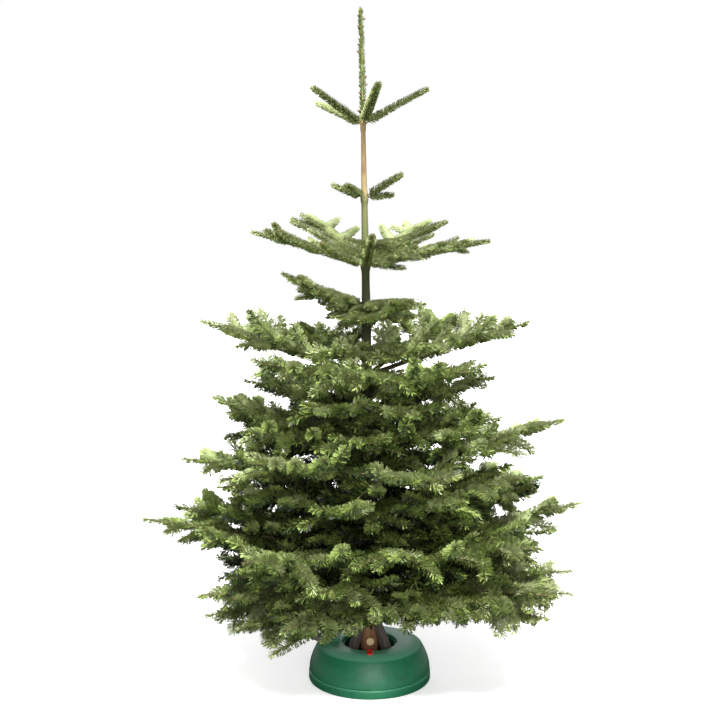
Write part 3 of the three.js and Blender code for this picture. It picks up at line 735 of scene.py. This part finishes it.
# Resinous end buds, brown and blunt with a dull shine, show where the needles leave them bare.
bud = {
    "length": 6.5 * mm, "radius": 2.3 * mm, "sides": 6,
    "rings": [(0, 0.75), (0.35, 1), (0.75, 0.7), (1, 0.15)],
    "bare": 0.2, "upper": 1.15, "leader": 1.5, "ring": 1.25, "onLeader": 13, "atWhorl": 7,
}
buds = []


def addBud(place, way, size=1.0):
    lengths = np.array([share for share, _ in bud["rings"]]) * bud["length"] * size
    wide = [part * bud["radius"] * size for _, part in bud["rings"]]
    buds.append(tube(place + unit(np.asarray(way, dtype=float)) * lengths[:, None], wide, bud["sides"]))


budDraw = seededDraw(4242)
for shoot in shoots:
    end, way = shoot["points"][-1], shoot["points"][-1] - shoot["points"][-2]
    if shoot["tier"] in upperTiers:
        addBud(end - unit(way) * 1 * mm, way, bud["upper"])
    elif shoot["fullness"] > 0.9 and budDraw() < bud["bare"]:
        addBud(end + unit(way) * 2 * mm, way)
leaderTip = trunkAxis(trunkSize["top"] - 10 * mm)
addBud(leaderTip, up, bud["leader"])
for k in range(5):
    addBud(leaderTip - up * 2 * mm, heading(72 * k + 20) + up * 0.9, bud["ring"])
for k in range(bud["onLeader"]):
    height = trunkSize["top"] - (32 + 23 * k + 6 * math.sin(3.1 * k)) * mm
    out = heading(137 * k + 90 * (k % 2))
    spot = trunkAxis(height) + out * (trunkRadius(height) + 3.5 * mm)
    addBud(spot, out + up * 0.8, between((1.2, 1.6), budDraw()))
for whorl in whorls[:4]:
    for k in range(bud["atWhorl"]):
        height = (whorl["height"] + 5 * math.sin(2.4 * k)) * mm
        out = heading(51 * k + 11)
        addBud(trunkAxis(height) + out * trunkRadius(height), out + up * 0.9)
budPiece = joinTubes("buds", buds, newMaterial("budScales", 0.45, 1.5, 0.4, "#75543a")[0])
report(f"buds {len(budPiece.data.polygons) * 2} triangles")

# The trunk's bark: long shallow plates, a swelling at each whorl and a collar round each bough.
barkRelief = {
    "rings": 340, "sides": 48, "closerAtFoot": 1.15, "plate": 13 * mm, "stretch": 0.3, "depth": 0.7 * mm,
    "whorlSwell": 1.3 * mm, "whorlSpan": 8 * mm, "collar": 2.4 * mm, "collarSpan": 9 * mm, "reach": 40 * mm,
}


def collarsAt(height, azimuth, radius):
    grown = 0.0
    for whorl in whorls:
        away = height - whorl["height"] * mm
        if abs(away) > barkRelief["reach"]:
            continue
        grown += barkRelief["whorlSwell"] * math.exp(-0.5 * (away / barkRelief["whorlSpan"]) ** 2)
        for bough in whorl["boughs"]:
            turn = (azimuth - bough[0] + 180) % 360 - 180
            across = math.radians(turn) * radius
            apart = (across ** 2 + away ** 2) / barkRelief["collarSpan"] ** 2
            grown += barkRelief["collar"] * math.exp(-0.5 * apart)
    return min(grown, 0.3 * radius)


def makeTrunk(material):
    rings, sides = barkRelief["rings"], barkRelief["sides"]
    share = np.linspace(0, 1, rings) ** barkRelief["closerAtFoot"]
    points = np.zeros((rings, sides, 3))
    for i, height in enumerate(trunkSize["cut"] + (trunkSize["top"] - trunkSize["cut"]) * share):
        centre = trunkAxis(height)
        radius = trunkRadius(height)
        rough = barkRelief["depth"] * min(1.0, radius / (20 * mm))
        for k in range(sides):
            azimuth = 360 * k / sides
            out = heading(azimuth)
            spot = Vector(out * radius) + Vector((0, 0, height * barkRelief["stretch"]))
            plates = noise.fractal(spot / barkRelief["plate"], 0.8, 2.1, 4)
            points[i, k] = centre + out * (radius + rough * plates + collarsAt(height, azimuth, radius))
    cap = np.arange((rings - 1) * sides, rings * sides)[None]
    foot = np.arange(sides)[::-1][None]
    faces = [wallBetween(rings, sides), cap, foot]
    return meshObject("trunkBark", points.reshape(-1, 3), faces, [material])


trunkPiece = makeTrunk(oldBark)
report("trunk done")

# The sawn stump of a low bough, with its bark rim and its year rings. Sawn fir is pale and matt.
stub = {
    "azimuth": 274, "height": 113 * mm, "radius": 12.5 * mm, "length": 5 * mm, "rim": 1.6 * mm,
    "sides": 40, "yearRing": 7 * mm, "colours": [(0.0, "#c9a877"), (0.6, "#e0c597"), (1.0, "#ecd8b0")],
}


def makeStub(material):
    out = heading(stub["azimuth"])
    centre = trunkAxis(stub["height"])
    far = trunkRadius(stub["height"]) + stub["length"]
    line = centre + out * np.array([[0.4 * far], [far - 3 * mm], [far - 0.6 * mm], [far], [far]])
    wide = stub["radius"] + np.array([1.5, 0, 0, -0.6, -stub["rim"] / mm]) * mm
    sleeve = joinTubes("stumpBark", [tube(line, wide, stub["sides"])], material)
    sawn, shader = newMaterial("sawnFir", 0.72, 1.5, 0.3)
    place = addNode(sawn, "TexCoord").outputs["Object"]
    rings = addNode(sawn, "TexWave", {
        "Vector": place, "Scale": 1 / stub["yearRing"], "Distortion": 1.2, "Detail": 2,
        "Detail Scale": 1.5,
    }, wave_type="RINGS", rings_direction="Z")
    colour = addNode(sawn, "ValToRGB", {"Fac": rings.outputs["Fac"]}, stub["colours"])
    setInputs(sawn, shader, {"Base Color": colour})
    mesh = bmesh.new()
    bmesh.ops.create_circle(mesh, cap_ends=True, segments=stub["sides"], radius=wide[-1])
    face = bmeshObject("stumpCut", mesh, sawn)
    face.location = Vector(centre + out * (far + 0.1 * mm))
    face.rotation_euler = Vector(out).to_track_quat("Z", "Y").to_euler()
    return sleeve, face


for piece in (twigPiece, boughPiece, budPiece, trunkPiece, *makeStub(oldBark)):
    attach(piece, "root")
limbs = [whorl for whorl in whorls if whorl["kind"] == "limb"]
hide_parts(*[f"bough_{w['name']}_{i + 1}" for w in limbs for i in range(len(w["boughs"]))])
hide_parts("trunk")

# The clamp stand, sizes in millimetres.
seatGap = 0.35
stand = {
    "baseRadius": 178, "flangeHeight": 24, "floor": 5, "shoulderRadius": 154, "shoulderHeight": 101,
    "crestRadius": 118, "crestHeight": 108, "mouthRadius": 78.5, "mouthHeight": 104, "wall": 4,
    "wellRadius": 74.5, "wellWall": 3.4, "seatRadius": 34, "segments": 176,
}


def curve(corners, steps):
    # points of a curve with three or four control points, its first point left out
    made = []
    for i in range(1, steps + 1):
        row = [np.array(c, dtype=float) for c in corners]
        while len(row) > 1:
            row = [a + (b - a) * (i / steps) for a, b in zip(row, row[1:])]
        made.append(tuple(row[0]))
    return made


def solidPiece(name, mesh, material):
    bmesh.ops.remove_doubles(mesh, verts=mesh.verts, dist=1e-7)
    bmesh.ops.recalc_face_normals(mesh, faces=mesh.faces)
    return bmeshObject(name, mesh, material)


def turnProfile(name, profile, material, closed=False):
    # radius and height turned round the stand's axis
    mesh = bmesh.new()
    turns = np.linspace(0, 2 * math.pi, stand["segments"], endpoint=False)
    rows = []
    for r, z in profile:
        if r < 0.01:
            rows.append([mesh.verts.new((0, 0, z * mm))] * len(turns))
        else:
            spots = [(r * math.cos(t) * mm, r * math.sin(t) * mm, z * mm) for t in turns]
            rows.append([mesh.verts.new(spot) for spot in spots])
    pairs = list(zip(rows, rows[1:])) + ([(rows[-1], rows[0])] if closed else [])
    for low, high in pairs:
        for i in range(len(turns)):
            j = (i + 1) % len(turns)
            mesh.faces.new(list(dict.fromkeys([low[i], low[j], high[j], high[i]])))
    return solidPiece(name, mesh, material)


def prism(name, near, far, material):
    # two outlines with the same number of corners, joined by a wall
    mesh = bmesh.new()
    rows = [[mesh.verts.new(Vector(p) * mm) for p in outline] for outline in (near, far)]
    mesh.faces.new(rows[0])
    mesh.faces.new(rows[1][::-1])
    for i in range(len(near)):
        j = (i + 1) % len(near)
        mesh.faces.new([rows[0][i], rows[1][i], rows[1][j], rows[0][j]])
    return solidPiece(name, mesh, material)


def radialPrism(name, outline, widthAt, azimuth, material):
    # an outline of radius and height, as wide at each height as widthAt says
    out, side = heading(azimuth), heading(azimuth + 90)
    sheets = [[out * r + side * (sign * widthAt(z) / 2) + up * z for r, z in outline] for sign in (-1, 1)]
    return prism(name, *sheets, material)


def combine(piece, other, operation):
    step = piece.modifiers.new("shape", "BOOLEAN")
    step.object = other
    step.operation = operation
    step.solver = "EXACT"
    bpy.context.view_layer.update()
    shaped = piece.evaluated_get(bpy.context.evaluated_depsgraph_get())
    data = bpy.data.meshes.new_from_object(shaped)
    piece.modifiers.clear()
    piece.data = data
    bpy.data.objects.remove(other)


def softenEdges(piece, width):
    step = piece.modifiers.new("softEdges", "BEVEL")
    step.width = width
    step.segments = 3
    step.limit_method = "ANGLE"
    step.angle_limit = math.radians(32)
    step.harden_normals = True
    piece.data.shade_smooth()


def makePlastic(name, colours, gloss, grain, wearAndEdgeHighlightAmount, dustAndTopLightAmount):
    # Moulded plastic: two colours mottle it faintly under a fine leather grain, and a third one is on rubbed
    # edges and on the faces that look up. On edges it is partly wear and partly a painted highlight; on the
    # tops it is partly dust and partly painted light on those faces.
    material, shader = newMaterial(name, gloss, 1.49, 0.5)
    place = addNode(material, "TexCoord").outputs["Object"]
    cloud = addNode(material, "TexNoise", {
        "Vector": place, "Scale": 1 / (22 * mm), "Detail": 6, "Roughness": 0.75,
    })
    steps = [(0.3, colours[0]), (0.7, colours[1])]
    base = addNode(material, "ValToRGB", {"Fac": cloud}, steps)
    surface = addNode(material, "NewGeometry")
    # paler edges: partly wear, partly a painted edge highlight
    wearAndEdgeHighlight = addNode(material, "MapRange", {
        "Value": surface.outputs["Pointiness"], "From Min": 0.51, "From Max": 0.57, "To Max": wearAndEdgeHighlightAmount,
    })
    # paler tops: partly dust, partly painted light on faces that look up
    tilt = addNode(material, "SeparateXYZ", {"Vector": surface.outputs["Normal"]})
    dustAndTopLight = addNode(material, "MapRange", {
        "Value": tilt.outputs["Z"], "From Min": 0.6, "From Max": 0.98, "To Max": dustAndTopLightAmount,
    })
    paler = addNode(material, "Math", {
        0: wearAndEdgeHighlight, 1: dustAndTopLight,
    }, operation="MAXIMUM")
    mixed = addNode(material, "Mix", {
        "Factor": paler, "A": base, "B": srgb(colours[2]),
    }, data_type="RGBA")
    leather = addNode(material, "TexVoronoi", {"Vector": place, "Scale": 1 / grain})
    rough = addNode(material, "MapRange", {
        "Value": leather, "To Min": gloss - 0.06, "To Max": gloss + 0.1,
    })
    bump = addNode(material, "Bump", {
        "Height": leather, "Strength": 0.5, "Distance": 0.4 * mm,
    })
    setInputs(material, shader, {
        "Base Color": mixed, "Roughness": rough,
        "Normal": bump,
    })
    return material


# deep green with a soft sheen, milky on the flat tops, partly from dust and partly painted light there
greens = ["#0d5c3c", "#176f4b", "#6fc09a"]
greenPlastic = makePlastic("greenPolypropylene", greens, 0.42, 3.6 * mm, 0.3, 0.85)
# nearly black with a trace of red, its edges a dull grey-brown, partly rubbed and partly a painted edge
# highlight
darkPlastic = makePlastic("darkNylon", ["#1c1416", "#271e21", "#84766c"], 0.45, 3 * mm, 0.5, 0.0)
# an even signal red, clean and a little shinier
redPlastic = makePlastic("redGauge", ["#ff1214", "#ff1c1e", "#ff5a54"], 0.4, 3.0 * mm, 0.1, 0.0)

rim, flange, wellLow = stand["baseRadius"], stand["flangeHeight"], stand["floor"] + seatGap
tray = turnProfile("standTray", [
    (0, 0), (rim - 5, 0), *curve([(rim - 5, 0), (rim, 0), (rim, 5)], 6),
    (rim, flange - 4), *curve([(rim, flange - 4), (rim, flange), (rim - 4, flange)], 5),
    (rim - 10, flange), (rim - 12, stand["floor"]), (0, stand["floor"]),
], greenPlastic)
softenEdges(tray, 0.8 * mm)

wellOuter, wellTop = stand["wellRadius"] + stand["wellWall"], stand["mouthHeight"] - 6
seat = trunkSize["cut"] / mm - seatGap
well = turnProfile("standWell", [
    (0, wellLow), (wellOuter, wellLow), (wellOuter, wellTop), (stand["wellRadius"], wellTop),
    (stand["wellRadius"], wellLow + 4), (stand["seatRadius"] + 5, wellLow + 4),
    (stand["seatRadius"], seat), (0, seat),
], greenPlastic)
softenEdges(well, 0.8 * mm)


def coverProfile():
    # up the outside to the mouth's lip, and back down the inside
    shoulder, shoulderTop, wall = stand["shoulderRadius"], stand["shoulderHeight"], stand["wall"]
    crest, crestTop = stand["crestRadius"], stand["crestHeight"]
    mouth, mouthTop = stand["mouthRadius"], stand["mouthHeight"]
    low = flange + seatGap
    dome = [(rim - 1.5, low + 4), (rim - 1, low + 30), (shoulder + 9, shoulderTop - 18),
            (shoulder, shoulderTop - 4)]
    corner = [dome[-1], (shoulder - 3, shoulderTop), (shoulder - 9, shoulderTop + 1)]
    brow = [corner[-1], (crest + 8, crestTop), (crest, crestTop), (crest - 10, crestTop - 1)]
    lip = [(mouth + 9, mouthTop + 2.6), (mouth + 1, mouthTop + 1.5), (mouth, mouthTop - 2)]
    inside = [(shoulder - 10, shoulderTop - wall), (shoulder + 2, shoulderTop - 20), (rim - 6, low + 30),
              (rim - 6.5, low + 3)]
    return [
        (rim - 4.5, low), dome[0], *curve(dome, 18), *curve(corner, 6), *curve(brow, 8),
        lip[0], *curve(lip, 6), (mouth, mouthTop - 14), (mouth + 3, mouthTop - 14),
        (mouth + 3, mouthTop - wall), (crest, crestTop - wall), inside[0], *curve(inside, 12),
        (rim - 8.5, low),
    ]


lever = {
    "azimuth": 180, "pivot": 104, "pivotHeight": 97, "slope": 23, "length": 122, "depth": 25, "width": 22,
    "padLength": 44, "padWidth": 46, "housing": 20, "housingWall": 7,
}


def leverPoint(x, z):
    # x along the arm and z across it, to radius and height
    slope = math.radians(lever["slope"])
    return (lever["pivot"] + x * math.cos(slope) - z * math.sin(slope),
            lever["pivotHeight"] + x * math.sin(slope) + z * math.cos(slope))


def leverPrism(name, outline, width, material):
    return radialPrism(name, outline, lambda z: width, lever["azimuth"], material)


def housingOutline():
    # seen from the side the housing slopes up to its back
    inner, outer = stand["mouthRadius"] + 8, stand["shoulderRadius"] - 12
    top, low = stand["mouthHeight"] + lever["housing"], stand["mouthHeight"] - 3
    return [(inner, low), (outer, low), (outer, top - 5), (outer - 6, top), (inner + 5, top),
            (inner, top - 6)]


gauge = {"width": 15, "reach": 38, "thickness": 9, "round": 5, "sunk": 3.2, "slotDepth": 20}


def gaugePlan(grow, low, high):
    # the same plan at two heights, round at its far corners
    half, far, r = gauge["width"] / 2 + grow, gauge["reach"] + grow, gauge["round"]
    plan = [(half, grow), (half, -far + r), *curve([(half, -far + r), (half, -far), (half - r, -far)], 5),
            (-half + r, -far), *curve([(-half + r, -far), (-half, -far), (-half, -far + r)], 5),
            (-half, grow)]
    start = -(stand["mouthRadius"] + 4)
    return [[(x, y + start, z) for x, y in plan] for z in (low, high)]


cover = turnProfile("standCover", coverProfile(), greenPlastic, closed=True)
housingWidth = lever["width"] + 2 * lever["housingWall"]
combine(cover, leverPrism("housing", housingOutline(), housingWidth, greenPlastic), "UNION")
half = lever["depth"] / 2
slot = [leverPoint(x, z) for x, z in [
    (-6, -half - 7), (lever["length"], -half - 7), (lever["length"], half + 1), (-6, half + 1),
]]
combine(cover, leverPrism("slot", slot, lever["width"] + 2 * seatGap, greenPlastic), "DIFFERENCE")
lip, deep = stand["mouthHeight"], gauge["slotDepth"]
combine(cover, prism("gaugeSlot", *gaugePlan(seatGap, lip - deep, lip + deep), greenPlastic), "DIFFERENCE")
softenEdges(cover, 1.0 * mm)

gaugeLow = lip - gauge["sunk"]
gaugePiece = prism("standGauge", *gaugePlan(0, gaugeLow, gaugeLow + gauge["thickness"]), redPlastic)
softenEdges(gaugePiece, 1.2 * mm)

jaw = {
    "azimuths": [322, 218, 128, 52], "back": 72.5, "foot": 40, "bend": 96, "top": 170, "footWidth": 27,
    "topWidth": 19, "depth": 13, "tipDepth": 12, "web": 5, "cheek": 4, "biteHeight": 12,
}


def makeJaw(i, azimuth):
    # a claw with a channel down its inner side, as near to the trunk as the clamp holds it
    back, foot, bend, top = jaw["back"], jaw["foot"], jaw["bend"], jaw["top"]
    biteLow = top - jaw["biteHeight"]
    lean = trunkAxis(top * mm) @ heading(azimuth) / mm
    bite = trunkRadius(biteLow * mm) / mm + lean + seatGap

    def widthAt(z):
        return between((jaw["footWidth"], jaw["topWidth"]), min(1, max(0, (z - bend) / (top - bend))))

    claw = [
        (back, foot), (back, bend), (bite + jaw["tipDepth"], top), (bite, top), (bite, biteLow),
        (back - 22, bend), (back - jaw["depth"], foot),
    ]
    channel = [
        (0, foot + 6), (back - jaw["web"], foot + 6), (back - jaw["web"], bend),
        (bite + jaw["tipDepth"] + 5, top - 18), (0, top - 18),
    ]
    piece = radialPrism(f"standJaw_{i + 1}", claw, widthAt, azimuth, darkPlastic)
    hollow = radialPrism("hollow", channel, lambda z: widthAt(z) - 2 * jaw["cheek"], azimuth, darkPlastic)
    combine(piece, hollow, "DIFFERENCE")
    softenEdges(piece, 1.1 * mm)
    return piece


jaws = [makeJaw(i, azimuth) for i, azimuth in enumerate(jaw["azimuths"])]

arm = [leverPoint(x, z) for x, z in [
    (0, -half), (lever["length"], -half * 0.55), (lever["length"], half * 0.55), (0, half),
]]
leverPiece = leverPrism("standLever", arm, lever["width"], darkPlastic)
start, high = lever["length"] - lever["padLength"], half * 0.7
tread = [leverPoint(x, z) for x, z in [
    (start, high - 5), (lever["length"] + 4, high - 6), (lever["length"] + 6, high + 1), (start, high + 2),
]]
combine(leverPiece, leverPrism("tread", tread, lever["padWidth"], darkPlastic), "UNION")
softenEdges(leverPiece, 1.2 * mm)

for piece, slotName, node in [
    (tray, "green_plastic", "stand_tray"), (well, "green_plastic", "stand_well"),
    (cover, "green_plastic", "stand_cover"), (gaugePiece, "gauge_red", "stand_gauge"),
    (leverPiece, "dark_plastic", "stand_lever"),
    *[(jaws[i], "dark_plastic", f"stand_jaw_{i + 1}") for i in range(4)],
]:
    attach(piece, "root")
    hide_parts(node)
report("stand done")

# A plain studio: a soft room that the camera sees as white, and suns of several sizes.
studio = {
    "room": (0.02, 0.75), "horizon": -0.05, "floorSize": 400, "glow": 0.5,
    "lens": 49.5, "sensor": 36, "far": 1000, "camera": (-0.028, -2.85, 1.12), "pitch": 90 - 3.77,
    "suns": [
        # name, where it stands, strength, how wide it is in degrees
        ("keySun", (0.5, -2.6, 5.6), 11.6, 18),
        ("fillSun", (0.4, -4.0, 2.7), 1.3, 34),
        ("backSun", (-0.6, 4.0, 3.4), 0.9, 40),
        ("lowSun", (0.3, -4.0, 1.1), 1.0, 30),
    ],
}


def forCamera(owner, other, seen):
    # what the camera sees, and what everything else does
    path = addNode(owner, "LightPath")
    return addNode(owner, "MixShader", {0: path.outputs["Is Camera Ray"], 1: other, 2: seen})


def makeStudio():
    world = emptyNodes(bpy.data.worlds.new("softStudio"))
    bpy.context.scene.world = world
    way = addNode(world, "TexCoord").outputs["Generated"]
    height = addNode(world, "SeparateXYZ", {"Vector": way}).outputs["Z"]
    level = addNode(world, "MapRange", {
        "Value": height, "From Min": studio["horizon"], "From Max": 1.0,
        "To Min": studio["room"][0], "To Max": studio["room"][1],
    })
    white = srgb("#ffffff")
    room = addNode(world, "Background", {"Color": white, "Strength": level})
    seen = addNode(world, "Background", {"Color": white, "Strength": 1.0})
    addNode(world, "OutputWorld", {"Surface": forCamera(world, room, seen)})

    for name, place, strength, angle in studio["suns"]:
        light = bpy.data.lights.new(name, "SUN")
        light.energy = strength
        light.angle = math.radians(angle)
        lamp = newObject(name, light)
        lamp.location = place
        lamp.rotation_euler = (Vector(up) - Vector(place)).to_track_quat("-Z", "Y").to_euler()

    # the floor looks pale, but throws little light up under the boughs
    paint = emptyNodes(bpy.data.materials.new("paintedFloor"))
    pale = addNode(paint, "BsdfDiffuse", {"Color": srgb("#f0f0ef")})
    dull = addNode(paint, "BsdfDiffuse", {"Color": srgb("#8a8a88")})
    glow = addNode(paint, "Emission", {"Color": white, "Strength": studio["glow"]})
    lifted = addNode(paint, "AddShader", {0: pale, 1: glow})
    addNode(paint, "OutputMaterial", {"Surface": forCamera(paint, dull, lifted)})
    bpy.ops.mesh.primitive_plane_add(size=studio["floorSize"], location=(0, 0, 0))
    floor = bpy.context.object
    floor.name = "floor"
    floor.data.materials.append(paint)


def makeCamera():
    lens = bpy.data.cameras.new("camera")
    lens.lens = studio["lens"]
    lens.sensor_width = studio["sensor"]
    lens.clip_end = studio["far"]
    camera = newObject("camera", lens)
    camera.location = studio["camera"]
    camera.rotation_euler = (math.radians(studio["pitch"]), 0, 0)
    bpy.context.scene.camera = camera


makeStudio()
makeCamera()
bpy.context.scene.view_settings.view_transform = "Standard"
